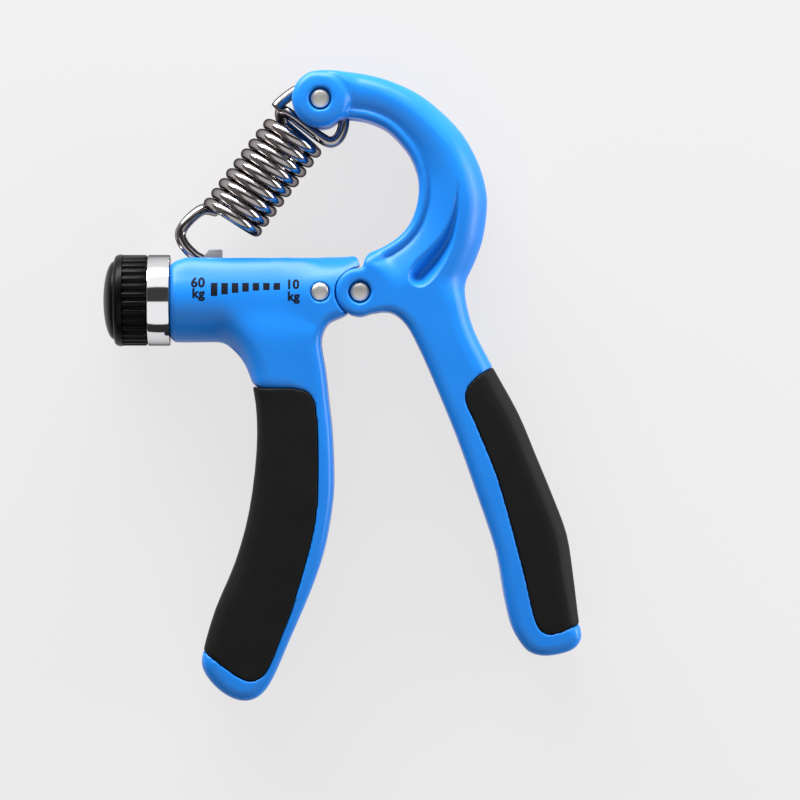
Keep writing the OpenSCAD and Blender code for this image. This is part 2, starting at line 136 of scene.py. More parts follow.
white = add(dome, "ShaderNodeBackground", inputs={"Color": srgb("F4F3F3"), "Strength": 1.0})
ray = add(dome, "ShaderNodeLightPath")
sky = add(dome, "ShaderNodeMixShader", _0=ray.outputs["Is Camera Ray"], _1=glow.outputs[0], _2=white.outputs[0])
add(dome, "ShaderNodeOutputWorld", Surface=sky.outputs[0])

FLOOR_SIZE = 3.0
FLOOR_GLOW = 0.82       # share of the table's look that is its own pale colour, the rest being light and shadow
floor_mesh = bmesh.new()
bmesh.ops.create_grid(floor_mesh, x_segments=1, y_segments=1, size=FLOOR_SIZE / 2)
floor_data = bpy.data.meshes.new("floor")
floor_mesh.to_mesh(floor_data)
floor_mesh.free()
floor = bpy.data.objects.new("floor", floor_data)
scene.collection.objects.link(floor)
table = bpy.data.materials.new("matt_white_table")
table.use_nodes = True
sheet = table.node_tree
sheet.nodes.clear()
lit = add(sheet, "ShaderNodeBsdfDiffuse", inputs={"Color": srgb("D2D1D1")})
pale = add(sheet, "ShaderNodeEmission", inputs={"Color": srgb("F2F1F1"), "Strength": 1.0})
ray = add(sheet, "ShaderNodeLightPath")
seen = add(sheet, "ShaderNodeMath", {"operation": "MAXIMUM"}, _0=ray.outputs["Is Camera Ray"],
           _1=ray.outputs["Is Glossy Ray"])
seen = add(sheet, "ShaderNodeMath", {"operation": "MAXIMUM"}, _0=seen.outputs[0],
           _1=ray.outputs["Is Transmission Ray"])
share = add(sheet, "ShaderNodeMath", {"operation": "MULTIPLY"}, {1: FLOOR_GLOW}, _0=seen.outputs[0])
both = add(sheet, "ShaderNodeMixShader", _0=share.outputs[0], _1=lit.outputs[0], _2=pale.outputs[0])
add(sheet, "ShaderNodeOutputMaterial", Surface=both.outputs[0])
floor_data.materials.append(table)


def softbox(name, place, aim, size, power):
    """A lamp with a flat square-cornered front, turned towards its aim."""
    lamp = bpy.data.lights.new(name, "AREA")
    lamp.shape = "RECTANGLE"
    lamp.size, lamp.size_y = size
    lamp.energy = power
    box = bpy.data.objects.new(name, lamp)
    box.location = place
    box.rotation_euler = (Vector(aim) - Vector(place)).to_track_quat("-Z", "Y").to_euler()
    scene.collection.objects.link(box)


MIDDLE = (0, 0, 0.01)
softbox("top_softbox", place=(-0.14, 0.5, 0.15), aim=MIDDLE, size=(0.7, 0.22), power=7.6)
softbox("right_softbox", place=(0.56, 0.08, 0.12), aim=MIDDLE, size=(0.5, 0.25), power=3.4)


# ---- Castings -----------------------------------------------------------------------------
# The two handles are die-cast aluminium with a satin blue baked enamel. Each is one casting
# with rounded edges, and the barrel runs into its handle without a seam.
MERGE = 0.002 * MM      # corners closer than this are joined


def merged_copy(node, name):
    """A copy of a CAD node whose loose triangles are joined."""
    mesh = bmesh.new()
    mesh.from_mesh(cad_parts[node].data)
    bmesh.ops.remove_doubles(mesh, verts=mesh.verts, dist=MERGE)
    data = bpy.data.meshes.new(name)
    mesh.to_mesh(data)
    mesh.free()
    piece = bpy.data.objects.new(name, data)
    scene.collection.objects.link(piece)
    return piece


def applied(piece):
    """Makes a piece's modifiers part of its mesh."""
    view = bpy.context.evaluated_depsgraph_get()
    data = bpy.data.meshes.new_from_object(piece.evaluated_get(view))
    piece.modifiers.clear()
    piece.data = data
    piece.data.name = piece.name
    return piece


def fit(piece, material, body, slot, *nodes):
    """Gives a finished piece its material, and fixes it in the place of the nodes it stands for."""
    piece.data.materials.clear()
    piece.data.materials.append(material)
    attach(piece, body)
    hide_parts(*nodes)
    return piece


def finish_material(name, settings):
    """A new material with one shader, whose constants are set on its own sockets."""
    material = bpy.data.materials.new(name)
    material.use_nodes = True
    shader = material.node_tree.nodes["Principled BSDF"]
    for key, value in settings.items():
        shader.inputs[key].default_value = value
    coordinates = add(material.node_tree, "ShaderNodeTexCoord").outputs["Object"]
    return material, material.node_tree, shader, coordinates


# Baked enamel: even colour, slightly deeper in patches 22 mm across, with the faint orange peel
# of sprayed paint, which softens the edges of reflections. The peel is 1.2 mm across.
# Here and below a pattern's scale is the number of its grains in a millimetre.
enamel, tree, shader, where = finish_material("blue_baked_enamel", {
    "Roughness": 0.34, "IOR": 1.5, "Specular IOR Level": 0.28})
cloud = add(tree, "ShaderNodeTexNoise", inputs={"Scale": 0.045 / MM, "Detail": 2.0, "Roughness": 0.5},
            Vector=where)
shades = add(tree, "ShaderNodeValToRGB", Fac=cloud.outputs["Fac"])
ramp_stops(shades, [(0.35, srgb("187AD8")), (0.65, srgb("1D81E0"))])
tree.links.new(shades.outputs["Color"], shader.inputs["Base Color"])
peel = add(tree, "ShaderNodeTexNoise", inputs={"Scale": 0.83 / MM, "Detail": 1.0, "Roughness": 0.4},
           Vector=where)
relief = add(tree, "ShaderNodeBump", inputs={"Strength": 0.05, "Distance": 0.02 * MM},
             Height=peel.outputs["Fac"])
tree.links.new(relief.outputs["Normal"], shader.inputs["Normal"])

CAST_VOXEL = 0.4 * MM
FLOW_STEPS = 90         # rounds of smoothing where two shapes grow together
RELAX_STEPS = 5         # rounds over the whole skin

# The castings' shapes are set in millimetres
HALF = 10               # half the castings' thickness
AXIS_Y = -1.7           # height of the barrel's axis
BARREL_R = 9.1
PLATE_PIN = (-8.5, 0)
PIVOT = (0, 0)
TIP_PIN = (-8.5, 41.4)
BARREL_Y = AXIS_Y * MM
MID_Z = HALF * MM
LINE_STEPS = 5          # pieces of line between two given points


def smooth_through(points, steps):
    """Points on a smooth curve through the given ones."""
    found = []
    for i in range(len(points) - 1):
        p0, p1 = points[max(i - 1, 0)], points[i]
        p2, p3 = points[i + 1], points[min(i + 2, len(points) - 1)]
        for k in range(steps):
            t = k / steps
            found.append(0.5 * (2 * p1 + (p2 - p0) * t + (2 * p0 - 5 * p1 + 4 * p2 - p3) * t * t
                                + (3 * p1 - p0 - 3 * p2 + p3) * t ** 3))
    return found + [points[-1]]


def line_through(points, closed=False):
    """A fine line through given points in millimetres, as an array."""
    points = [Vector(p) for p in points]
    if not closed:
        return np.array(smooth_through(points, LINE_STEPS))
    around = smooth_through([points[-1], *points, points[0], points[1]], LINE_STEPS)
    return np.array(around[LINE_STEPS:-LINE_STEPS])


def away_from(line, x, y):
    """How far each place lies from a line, and how far along the line its nearest point is, from 0 to 1."""
    best = np.full(len(x), 1e9)
    share = np.zeros(len(x))
    for k in range(len(line) - 1):
        (ax, ay), (bx, by) = line[k], line[k + 1]
        t = ((x - ax) * (bx - ax) + (y - ay) * (by - ay)) / max((bx - ax) ** 2 + (by - ay) ** 2, 1e-9)
        t = np.clip(t, 0, 1)
        d = np.hypot(x - ax - t * (bx - ax), y - ay - t * (by - ay))
        nearer = d < best
        best[nearer] = d[nearer]
        share[nearer] = (k + t[nearer]) / (len(line) - 1)
    return best, share


def within(outline, x, y):
    """Which places lie inside a closed outline."""
    inside = np.zeros(len(x), bool)
    for (ax, ay), (bx, by) in zip(outline, np.roll(outline, -1, axis=0)):
        crosses = (ay > y) != (by > y)
        inside ^= crosses & (x < (bx - ax) * (y - ay) / (by - ay if by != ay else 1e-9) + ax)
    return inside


def part_way(value, start, end):
    """How far a value has come from start to end, from 0 to 1."""
    return np.clip((value - start) / (end - start), 0, 1)


def ramp(value, start, end):
    """The same, setting in and ending gently."""
    t = part_way(value, start, end)
    return t * t * (3 - 2 * t)


def round_half(radius, off_centre):
    """Half the width of a round section at a distance from its centre, but at least 1 mm."""
    return np.sqrt(np.maximum(radius ** 2 - off_centre ** 2, 1))


def recast(node, name, softened=None, shape=None):
    """A casting from its CAD node: an even skin, shaped, and relaxed so that its facets don't show."""
    piece = merged_copy(node, name)
    skin = piece.modifiers.new("skin", "REMESH")
    skin.mode = "VOXEL"
    skin.voxel_size = CAST_VOXEL
    skin.adaptivity = 0.0
    applied(piece)
    places = np.empty(len(piece.data.vertices) * 3, np.float32)
    piece.data.vertices.foreach_get("co", places)
    places = places.reshape(-1, 3).astype(float) / MM
    if shape:
        shape(places)
        piece.data.vertices.foreach_set("co", (places * MM).ravel())
        piece.data.update()
    if softened:
        group = piece.vertex_groups.new(name="softened")
        for k, weight in enumerate(softened(places)):
            if weight > 0:
                group.add([k], weight, "ADD")
        flow = piece.modifiers.new("flow", "SMOOTH")
        flow.factor = 0.5
        flow.iterations = FLOW_STEPS
        flow.vertex_group = "softened"
    relax = piece.modifiers.new("relax", "SMOOTH")
    relax.factor = 0.5
    relax.iterations = RELAX_STEPS
    applied(piece)
    piece.vertex_groups.clear()
    piece.data.shade_smooth()
    return piece


STEP_WALL = 0.3         # width of the slope at a step's edge
NEAR_FACE = 0.7         # what counts as a side face, as a share of half the thickness


def bored_rings(places, pins):
    """Sinks a narrow step round each pin's end, given as the pin's place, the step's radius and its depth."""
    x, y, z = places.T
    level = (z - HALF) / HALF
    for (pin_x, pin_y), radius, depth in pins:
        ring = ramp(np.hypot(x - pin_x, y - pin_y), radius, radius - STEP_WALL) * (np.abs(level) > NEAR_FACE)
        places[:, 2] = places[:, 2] - np.sign(level) * depth * ring


# Where the barrel and its handle are drawn together: a pair is where that begins and is full
BLEND_LEFT, BLEND_RIGHT = (-36, -30), (-11, -16)
BLEND_LOW, BLEND_HIGH = (-25, -19), (3, -2)
OFF_RIM = (3.6, 5.6)    # distance from the middle plane at which the slot's rim is left alone, and isn't
BORE_R = 7.6            # the bore within this is left alone


def barrel_blend(places):
    """How much the skin is drawn together: fully where the barrel grows out of the handle."""
    x, y, z = places.T
    height = np.abs(z - HALF)
    along = part_way(x, *BLEND_LEFT) * part_way(x, *BLEND_RIGHT)
    down = part_way(y, *BLEND_LOW)
    off_rim = np.maximum(part_way(y, *BLEND_HIGH), part_way(height, *OFF_RIM))
    return along * down * off_rim * (np.hypot(y - AXIS_Y, height) >= BORE_R)


SWELL_X = (-18, -4)     # the barrel swells to the body's thickness
FOOT_X = (-31, -22)     # the barrel's underside tightens to the handle's outer edge
FOOT_R = 4.2            # rounding of that edge
FLAT_X = (-30, -20)     # the flat side sets in below the barrel
FLAT_DROP = (1, 8.5)    # and it does so this far below the axis
PLAIN_Y = (-17, -24)    # the shaping fades out down the handle
TOP_LINE = 7.4          # height of the barrel's straight top edge
RIM_LIFT = 0.15         # added to it along the slot, since relaxing the skin lowers the rim again
SLOT_END = (-14.5, -16.5)
RIM_SIDE = (8, 3.3)     # distance from the middle plane at which the slot's rim fills out
RIM_RISE = (3, 6)       # height above the axis at which it does
RIM_X = (-7, -14)
END_X = -41.1           # the barrel's open end, whose upper corner is cut
CUT_LENGTH = 4.2
CUT_SLOPE = 0.16        # how steeply the cut falls at the full rise
CUT_RISE = 9
CORNER = (-1.1, 7)      # the body's corner at the hinge's notch
CORNER_R = 1.3
CORNER_PULL = (0.4, 0.6)
SEAT_FROM = 4.5         # the hinge's concave seat begins at this distance from the pivot
SEAT_R = (5.6, 6.4)     # and its play fades out here
SEAT_X = 1
SEAT_PLAY = 0.14
foot_line = line_through([(-46, -10.8), (-38, -10.8), (-33, -10.8), (-29.8, -10.8), (-27.5, -11.9),
                          (-25.9, -13.4), (-24.3, -16.1), (-22.8, -20.1), (-22.2, -24)])


def model_barrel(places):
    """Carries the barrel's roundness on into the body and down the handle's outer edge, fills the slot's rim
    out to the straight top edge, cuts the open end's upper corner, and draws the body's corner out to the
    hinge's notch."""
    x, y, z = places.T
    rise = y - AXIS_Y
    height = z - HALF
    into_body = ramp(x, *SWELL_X)
    above = round_half(BARREL_R + (HALF - BARREL_R) * into_body, rise)
    from_edge, _ = away_from(foot_line, x, y)
    edge_r = BARREL_R + (FOOT_R - BARREL_R) * ramp(x, *FOOT_X)
    flatness = np.maximum(into_body, ramp(-rise, *FLAT_DROP) * ramp(x, *FLAT_X))
    flat = BARREL_R + (HALF - BARREL_R) * flatness
    below = flat - edge_r + round_half(edge_r, np.maximum(edge_r - from_edge, 0))
    half = np.where(rise > 0, above, below)
    half += (HALF - half) * ramp(y, *PLAIN_Y)
    height = np.sign(height) * np.minimum(np.abs(height), half)
    places[:, 2] = HALF + height

    near_rim = ramp(np.abs(height), *RIM_SIDE) * ramp(rise, *RIM_RISE) * ramp(x, *RIM_X)
    top = TOP_LINE + RIM_LIFT * ramp(x, *SLOT_END)
    lifted = y + (top - AXIS_Y - round_half(BARREL_R, height)) * near_rim
    lifted = np.where(rise > 0, np.minimum(np.maximum(lifted, y), np.maximum(top, y)), y)
    cut = CUT_SLOPE * ramp(x, END_X + CUT_LENGTH, END_X) * np.clip(rise / CUT_RISE, 0, 1) ** 2
    lifted -= np.maximum(rise, 0) * cut

    corner = np.exp(-((x - CORNER[0]) ** 2 + (y - CORNER[1]) ** 2) / CORNER_R ** 2)
    places[:, 0] = x + CORNER_PULL[0] * corner
    places[:, 1] = lifted + CORNER_PULL[1] * corner
    out = np.hypot(places[:, 0], places[:, 1])
    seat = SEAT_PLAY * (1 - ramp(out, *SEAT_R)) * (out > SEAT_FROM) * (places[:, 0] < SEAT_X)
    places[:, :2] *= (1 - seat / np.maximum(out, 1))[:, None]
    bored_rings(places, ((PLATE_PIN, 2.2, 0.5),))


HEAD_R = 6.1            # the boss at the arm's tip
HEAD_EDGE = (-0.5, 0.7)             # the arm's section begins so far from the boss's edge
HEAD_FLAT_R, HEAD_FALL = 3, 0.85    # the boss is flat to this radius, and then falls away so much
KNUCKLE_R = (6, 10)     # the shaping sets in outside the knuckle
ARM_Y = (-4, 4)         # and above the handle
ROUND_W, ROUND_FALL = 8, 3.0        # the broad round along the outer edge: its width and fall
ROUND_FROM = (4.5, 9.5)             # it sets in at this distance from the tip pin
SLOPE_W, SLOPE_FALL = 7.5, 2.5      # the slope towards the inner edge
LIP_W, LIP_RISE, LIP_WALL = 2.2, 0.6, 0.6
CREASE_AT, CREASE_W, CREASE_FALL = 2.4, 0.4, 0.3
BED_SHALLOW, BED_DEEPER = 0.6, 2.9  # the recess is shallow at its narrow end and this much deeper at the other
BED_RUN = 1.4           # it is at full depth before the bed's end, at 1 / 1.4 of its length
BED_SOFT = 0.15         # rounds the bed's ridge
EDGE_REACH = 0.35       # the recess's edge is drawn in to this distance outside it
FACE_LEVEL = 0.75
arm_outer = line_through([(-3.6, 47.4), (4.2, 46.1), (11.3, 43.3), (16.7, 39.5), (22, 34), (25.5, 27.6),
                          (27.1, 22), (27.3, 17.7), (26.4, 11.3), (24.5, 6), (22.7, 2)])
arm_inner = line_through([(-1.6, 37.3), (2.4, 36.5), (6, 34.7), (9.2, 31.5), (11.3, 28.3), (12.6, 24.1),
                          (12.4, 19.5), (11, 15.2), (8.5, 12), (4.9, 9.6), (2, 8.3)])
recess = line_through([(20.9, 24.4), (21.4, 20.5), (21.2, 15.8), (20.1, 10), (18.2, 5.7), (15.9, 2.4),
                       (13.4, 0.8), (11, 1.4), (10.1, 3.6), (11.6, 6.6), (14.4, 9.2), (17, 12),
                       (19.2, 15.8), (20.3, 20)], closed=True)
recess_bed = line_through([(20.9, 23.6), (20.8, 18.6), (19.4, 12), (16.6, 7.6), (13.6, 4.2), (12.6, 3.3)])


def model_arm(places):
    """The arm's section: a broad round outside, a slope to a fine crease and lip inside, a boss at its tip,
    and a scooped recess in each side."""
    x, y, z = places.T
    outside, _ = away_from(arm_outer, x, y)
    inside, _ = away_from(arm_inner, x, y)
    from_tip = np.hypot(x - TIP_PIN[0], y - TIP_PIN[1])
    off_head = ramp(from_tip, HEAD_R + HEAD_EDGE[0], HEAD_R + HEAD_EDGE[1])
    off_knuckle = ramp(np.hypot(x, y), *KNUCKLE_R) * ramp(y, *ARM_Y)
    sunk = ROUND_FALL * np.clip(1 - outside / ROUND_W, 0, 1) ** 2.2
    slope = SLOPE_FALL * np.clip(1 - (inside - LIP_W) / SLOPE_W, 0, 1) ** 1.6
    slope += CREASE_FALL * np.exp(-((inside - CREASE_AT) / CREASE_W) ** 2)
    slope -= LIP_RISE * ramp(inside, LIP_W, LIP_W - LIP_WALL)
    sunk = (sunk * ramp(from_tip, *ROUND_FROM) + slope * off_head) * off_knuckle
    sunk += HEAD_FALL * part_way(from_tip, HEAD_FLAT_R, HEAD_R) ** 2 * (1 - off_head)
    level = (z - HALF) / HALF
    places[:, 2] = z - sunk * level

    edge, _ = away_from(np.vstack([recess, recess[:1]]), x, y)
    bed, along = away_from(recess_bed, x, y)
    scooped = within(recess, x, y)
    floor_depth = BED_SHALLOW + BED_DEEPER * ramp(along * BED_RUN, 0, 1)
    depth = np.where(scooped, floor_depth * ramp(edge / (edge + bed + BED_SOFT), 0, 1), 0)
    touched = (scooped | (edge < EDGE_REACH)) & (np.abs(level) > FACE_LEVEL)
    places[:, 2] = np.where(touched, HALF + np.sign(level) * (HALF - sunk - depth), places[:, 2])
    bored_rings(places, ((TIP_PIN, 2.6, 0.8), (PIVOT, 2.6, 0.8)))


front_casting = recast("front_body", "front_casting", barrel_blend, model_barrel)
fit(front_casting, enamel, "front", "blue_paint", "front_body")
rear_casting = recast("rear_handle", "rear_casting", shape=model_arm)
fit(rear_casting, enamel, "rear", "blue_paint", "rear_handle")


# ---- Rubber grips -------------------------------------------------------------------------
# Moulded black rubber pads, glued into a recess round the back of each handle. Their skin has
# the fine even grain of a spark-eroded mould and lies flush with the paint.

# Moulded rubber: black and matt, with a grain that breaks up its weak sheen. The real grain is
# about 0.1 mm, too fine to show, so it is drawn at 0.4 mm.
rubber, tree, shader, where = finish_material("moulded_rubber", {
    "Roughness": 0.6, "IOR": 1.5, "Specular IOR Level": 0.16})
cloud = add(tree, "ShaderNodeTexNoise", inputs={"Scale": 0.12 / MM, "Detail": 3.0}, Vector=where)
shades = add(tree, "ShaderNodeValToRGB", Fac=cloud.outputs["Fac"])
ramp_stops(shades, [(0.3, srgb("0A0A0B")), (0.7, srgb("0F0F10"))])
tree.links.new(shades.outputs["Color"], shader.inputs["Base Color"])
grain = add(tree, "ShaderNodeTexNoise", inputs={"Scale": 2.6 / MM, "Detail": 2.0, "Roughness": 0.6},
            Vector=where)
relief = add(tree, "ShaderNodeBump", inputs={"Strength": 0.35, "Distance": 0.05 * MM},
             Height=grain.outputs["Fac"])
tree.links.new(relief.outputs["Normal"], shader.inputs["Normal"])

for node, name, body in (("front_pad", "front_grip", "front"), ("rear_pad", "rear_grip", "rear")):
    grip = recast(node, name)
    fit(grip, rubber, body, "rubber", node)


# ---- Pins ---------------------------------------------------------------------------------
# Three turned steel pins: one at the arm's tip, the pivot, and the one that holds the hinge
# plate. Their ends are chamfered and slightly crowned, and stand in a narrow step in the paint.
FINE_MERGE = 0.0005 * MM        # the same for new pieces


def lathe(name, profile, centre, axis, steps=96):
    """A turned piece: the profile is distance along the axis and radius, from end to end."""
    axis = Vector(axis).normalized()
    side = axis.orthogonal().normalized()
    mesh = bmesh.new()
    points = [mesh.verts.new(Vector(centre) + axis * a + side * r) for a, r in profile]
    edges = [mesh.edges.new(pair) for pair in zip(points, points[1:])]
    bmesh.ops.spin(mesh, geom=points + edges, cent=centre, axis=axis, dvec=(0, 0, 0), angle=2 * math.pi,
                   steps=steps, use_merge=True, use_normal_flip=False, use_duplicate=False)
    bmesh.ops.remove_doubles(mesh, verts=mesh.verts, dist=FINE_MERGE)
    bmesh.ops.recalc_face_normals(mesh, faces=mesh.faces)
    data = bpy.data.meshes.new(name)
    mesh.to_mesh(data)
    mesh.free()
    piece = bpy.data.objects.new(name, data)
    scene.collection.objects.link(piece)
    return piece


def smooth_by_angle(data, degrees=35):
    """Smooth shading, with the edges sharper than the angle left crisp."""
    mesh = bmesh.new()
    mesh.from_mesh(data)
    for face in mesh.faces:
        face.smooth = True
    for edge in mesh.edges:
        edge.smooth = len(edge.link_faces) == 2 and edge.calc_face_angle() < math.radians(degrees)
    mesh.to_mesh(data)
    mesh.free()


# Turned steel: a satin grey metal, whose sheen varies a little in patches of about 1 mm.
steel, tree, shader, where = finish_material("turned_steel", {
    "Base Color": srgb("CFCDC9"), "Metallic": 1.0})
haze = add(tree, "ShaderNodeTexNoise", inputs={"Scale": 0.9 / MM, "Detail": 2.0}, Vector=where)
satin = add(tree, "ShaderNodeMapRange", inputs={"To Min": 0.36, "To Max": 0.5}, Value=haze.outputs["Fac"])
tree.links.new(satin.outputs[0], shader.inputs["Roughness"])
relief = add(tree, "ShaderNodeBump", inputs={"Strength": 0.1, "Distance": 0.01 * MM},
             Height=haze.outputs["Fac"])
tree.links.new(relief.outputs["Normal"], shader.inputs["Normal"])

TIP_PIN_R = 2.0
PIN_ENDS = (0.5 * MM, 19.5 * MM)
CHAMFER = 0.25 * MM
CROWN = 0.22 * MM           # height of the crown's middle above the pin's plain end
CROWN_FOOT = 0.06 * MM      # how far below that end the chamfer stops and the crown begins
CROWN_STEPS = 6
PINS = (("tip_pin", "tip_rivet", TIP_PIN, TIP_PIN_R, "spring_eye"),
        ("pivot_pin", "pivot_rivet", PIVOT, 2.0, "front"),
        ("plate_pin", "fixed_rivet", PLATE_PIN, 1.85, "front"))
for node, name, place, radius, body in PINS:
    low, high = PIN_ENDS
    r = radius * MM
    half = [(high - CHAMFER, r), (high - CROWN_FOOT, r - CHAMFER)]
    half += [(high + CROWN * (1 - (step / CROWN_STEPS) ** 2), (r - CHAMFER) * step / CROWN_STEPS)
             for step in range(CROWN_STEPS - 1, -1, -1)]
    profile = [(low + high - at, width) for at, width in reversed(half)] + half
    pin = lathe(name, profile, (place[0] * MM, place[1] * MM, 0), (0, 0, 1))
    smooth_by_angle(pin.data)
    fit(pin, steel, body, "steel", node)


# ---- Spring -------------------------------------------------------------------------------
# One length of hard-drawn spring wire, wound on a lathe: a loop round the tip pin, nine turns,
# and a hook that drops into the barrel's slot. It is nickel-plated and mirror bright.
WIRE_D = 2.45
COIL_D = 14.2
TURNS = 9
PITCH = 2.66
COIL_START = 8.6                    # distance of the first turn from the tip pin
FIRST_ANGLE = 230
LEAN = math.radians(53)
HOOK_PIN_Y = 5.3
HOOK_PIN_R = 1.25
HOOK_S = (TIP_PIN[1] - HOOK_PIN_Y) / math.sin(LEAN)     # distance of the hook pin from the tip pin
ALONG = Vector((-math.cos(LEAN), -math.sin(LEAN), 0))
ACROSS = Vector((math.sin(LEAN), -math.cos(LEAN), 0))
COIL_R = (COIL_D - WIRE_D) / 2
LOOP_CLEARANCE = 0.3                # between the wire and the pins that it passes round
HOOK_CLEARANCE = 0.05
LOOP_R = TIP_PIN_R + WIRE_D / 2 + LOOP_CLEARANCE
HOOK_R = HOOK_PIN_R + WIRE_D / 2 + HOOK_CLEARANCE


def coil_point(turns):
    """A point on the coil, as places across, along and out of the spring's plane."""
    a = math.radians(FIRST_ANGLE + 360 * turns)
    return Vector((COIL_R * math.cos(a), COIL_START + PITCH * turns, COIL_R * math.sin(a)))


top_loop = [(-6.7, 7, 1.5), (-6.6, 5.4, 1.1), (-6, 3, 0.4), (-5.3, 1.2, 0), (-3.4, -1.2, 0), (0, -LOOP_R, 0),
            (3.9, -2, 0), (6.7, 0.6, 0), (7.9, 3.6, 0), (7.2, 5.8, 0), (4.6, 6.4, 0), (0, 6.4, 0),
            (-3.8, 6.4, 0), (-5.6, 6.9, -0.9)]
low_hook = [(-6.2, HOOK_S - 11.2, -1.8), (-7.2, HOOK_S - 7.6, -0.3), (-7, HOOK_S - 4.3, 0),
            (-5, HOOK_S - 2.7, 0), (-1.7, HOOK_S - 2.1, 0), (0.9, HOOK_S - 2.2, 0), (HOOK_R, HOOK_S, 0),
            (HOOK_R * 0.7, HOOK_S + HOOK_R * 0.7, 0), (-HOOK_R * 0.4, HOOK_S + HOOK_R * 0.95, 0),
            (-HOOK_R, HOOK_S + 0.4, 0)]
top_loop = [Vector(p) for p in top_loop]
low_hook = [Vector(p) for p in low_hook]
BEND_STEPS = 8
LEAD_IN = 0.125                     # part of the first turn that belongs to the loop's bend
STEPS_PER_TURN = 40
wire_line = smooth_through(top_loop + [coil_point(0), coil_point(LEAD_IN)], BEND_STEPS)[:-1]
wire_line += [coil_point(LEAD_IN + k / STEPS_PER_TURN) for k in range(int((TURNS - LEAD_IN) * STEPS_PER_TURN))]
wire_line += smooth_through([coil_point(TURNS)] + low_hook, BEND_STEPS)

wire = bpy.data.curves.new("wire", "CURVE")
wire.dimensions = "3D"
wire.bevel_depth = WIRE_D / 2 * MM
wire.bevel_resolution = 6
wire.use_fill_caps = True
tip = Vector((TIP_PIN[0] * MM, TIP_PIN[1] * MM, MID_Z))
run = wire.splines.new("POLY")
run.points.add(len(wire_line) - 1)
for point, q in zip(run.points, wire_line):
    place = tip + (ACROSS * q.x + ALONG * q.y + Vector((0, 0, q.z))) * MM
    point.co = (*place, 1)
wire_curve = bpy.data.objects.new("wire_curve", wire)
scene.collection.objects.link(wire_curve)
bpy.context.view_layer.update()
wire_mesh = bpy.data.meshes.new_from_object(wire_curve.evaluated_get(bpy.context.evaluated_depsgraph_get()))
bpy.data.objects.remove(wire_curve)
tension_spring = bpy.data.objects.new("tension_spring", wire_mesh)
scene.collection.objects.link(tension_spring)
smooth_by_angle(wire_mesh, 60)

# Bright nickel: a mirror, slightly dulled in patches of 1.4 mm by the drawing of the wire. Its base colour and
# grazing tint are set darker than bright nickel's: painted shade that darkens the wire's reflections of the
# pale table.
nickel, tree, shader, where = finish_material("nickel_plate_with_painted_shade", {
    "Base Color": srgb("A8A2A2"), "Metallic": 1.0, "Specular Tint": srgb("5A5658")})
marks = add(tree, "ShaderNodeTexNoise", inputs={"Scale": 0.7 / MM, "Detail": 3.0}, Vector=where)
shine = add(tree, "ShaderNodeMapRange", inputs={"To Min": 0.06, "To Max": 0.17}, Value=marks.outputs["Fac"])
tree.links.new(shine.outputs[0], shader.inputs["Roughness"])
wire_mesh.materials.clear()
wire_mesh.materials.append(nickel)
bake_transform(tension_spring)
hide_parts("spring")


# ---- Collar -------------------------------------------------------------------------------
# A turned and chromed collar between the knob and the barrel. It carries the lead screw, and
# its polished side mirrors the softboxes as hard bands.
AXIS = Vector((0, BARREL_Y, MID_Z))
COLLAR_R = 9.8 * MM
SCREW_HOLE_R = 3.05 * MM
WASHER_R, WASHER_SEAT = 6 * MM, 0.9 * MM        # the thrust washer's seat in the knob's side
CLIP_R, CLIP_SEAT = 4.8 * MM, 1.4 * MM          # the clip's seat in the barrel's side
EDGE_R, EDGE_STEP = 0.25 * MM, 0.07 * MM
ROUND_STEPS = 128
collar_low, collar_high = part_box("collar")
start, end = collar_low.x, collar_high.x
polished_collar = lathe("polished_collar", [
    (start + WASHER_SEAT, SCREW_HOLE_R), (start + WASHER_SEAT, WASHER_R), (start, WASHER_R),
    (start, COLLAR_R - EDGE_R), (start + EDGE_STEP, COLLAR_R - EDGE_STEP), (start + EDGE_R, COLLAR_R),
    (end - EDGE_R, COLLAR_R), (end - EDGE_STEP, COLLAR_R - EDGE_STEP), (end, COLLAR_R - EDGE_R), (end, CLIP_R),
    (end - CLIP_SEAT, CLIP_R), (end - CLIP_SEAT, SCREW_HOLE_R), (start + WASHER_SEAT, SCREW_HOLE_R)],
    AXIS, (1, 0, 0), ROUND_STEPS)
smooth_by_angle(polished_collar.data)

# Polished chrome: a hard mirror, with wear in patches of 2.5 mm that hardly shows.
chrome, tree, shader, where = finish_material("polished_chrome", {
    "Base Color": srgb("E8E8EA"), "Metallic": 1.0, "Specular Tint": srgb("6A6A6C")})
marks = add(tree, "ShaderNodeTexNoise", inputs={"Scale": 0.4 / MM, "Detail": 2.0}, Vector=where)
shine = add(tree, "ShaderNodeMapRange", inputs={"To Min": 0.04, "To Max": 0.09}, Value=marks.outputs["Fac"])
tree.links.new(shine.outputs[0], shader.inputs["Roughness"])
fit(polished_collar, chrome, "front", "chrome", "collar")


# ---- Knob and cap -------------------------------------------------------------------------
# A moulded black knob with a smooth rim and 32 ribs for the fingers, and a domed cap pressed
# into its end that hides the screw.
KNOB_R = 9.9 * MM
RIBS = 32
RIB_DEPTH = 0.55 * MM
# The points of a rib's outline: share of the rib's pitch, and share of the groove's depth
RIB_OUTLINE = ((0.0, 1.0), (0.1, 0.93), (0.18, 0.5), (0.26, 0.12), (0.38, 0.0), (0.62, 0.0), (0.74, 0.12),
               (0.82, 0.5), (0.9, 0.93))
RIM = 1.8 * MM              # length of the smooth rim
BACK = 0.3 * MM             # rounding at the knob's back
RIB_INSET = 0.1 * MM        # the ribs' tops lie this far within the rim
knob_low, knob_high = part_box("knob")


